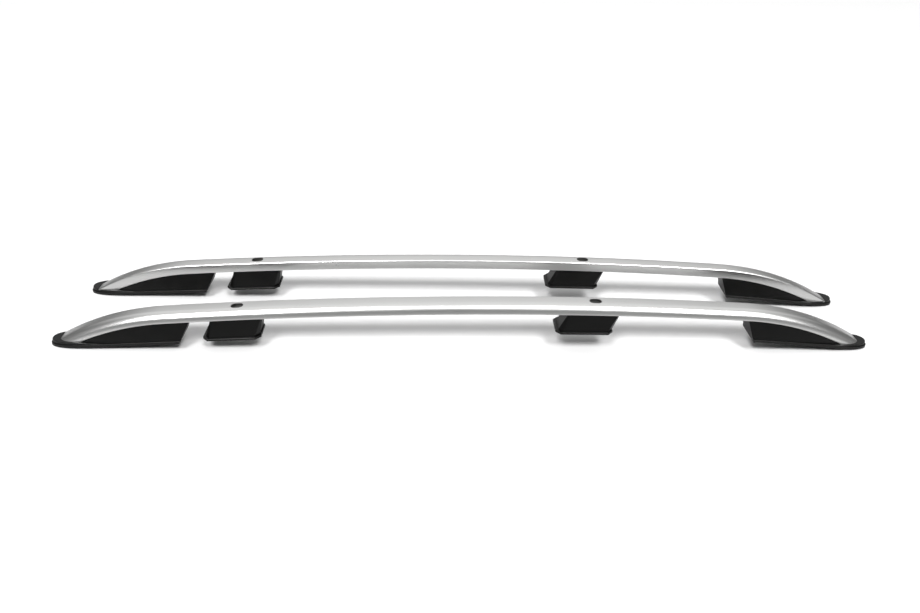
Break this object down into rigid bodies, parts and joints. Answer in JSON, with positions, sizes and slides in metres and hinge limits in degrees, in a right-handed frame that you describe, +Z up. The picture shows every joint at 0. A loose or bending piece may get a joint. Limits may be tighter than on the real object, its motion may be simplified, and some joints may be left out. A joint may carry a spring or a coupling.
{
  "type": "roof side rail pair",
  "caption": "Mirrored pair of arched aluminium roof side rails on moulded black feet, for carrying crossbars on a van roof.",
  "frame": {"origin": "on the floor, midway between the rails and midway along them", "axes": "+X towards the rear end, +Y towards the right rail, +Z up"},
  "size_m": [1.9998, 0.3176, 0.1221],
  "materials": {
    "bar": "satin anodised",
    "moulding": "fine satin grain",
    "gasket": "matt",
    "screw": "zinc plated"
  },
  "bodies": {
    "root": {"left_rail_bar": "bar", "left_front_end_foot": "moulding", "left_front_mid_foot": "moulding", "left_rear_end_foot": "moulding", "left_rear_mid_foot": "moulding", "left_front_end_gasket": "gasket", "left_rear_end_gasket": "gasket", "left_front_end_screw": "screw", "left_front_mid_screw": "screw", "left_rear_end_screw": "screw", "left_rear_mid_screw": "screw", "right_rail_bar": "bar", "right_front_end_foot": "moulding", "right_front_mid_foot": "moulding", "right_rear_end_foot": "moulding", "right_rear_mid_foot": "moulding", "right_front_end_gasket": "gasket", "right_rear_end_gasket": "gasket", "right_front_end_screw": "screw", "right_front_mid_screw": "screw", "right_rear_end_screw": "screw", "right_rear_mid_screw": "screw"}
  },
  "joints": []
}
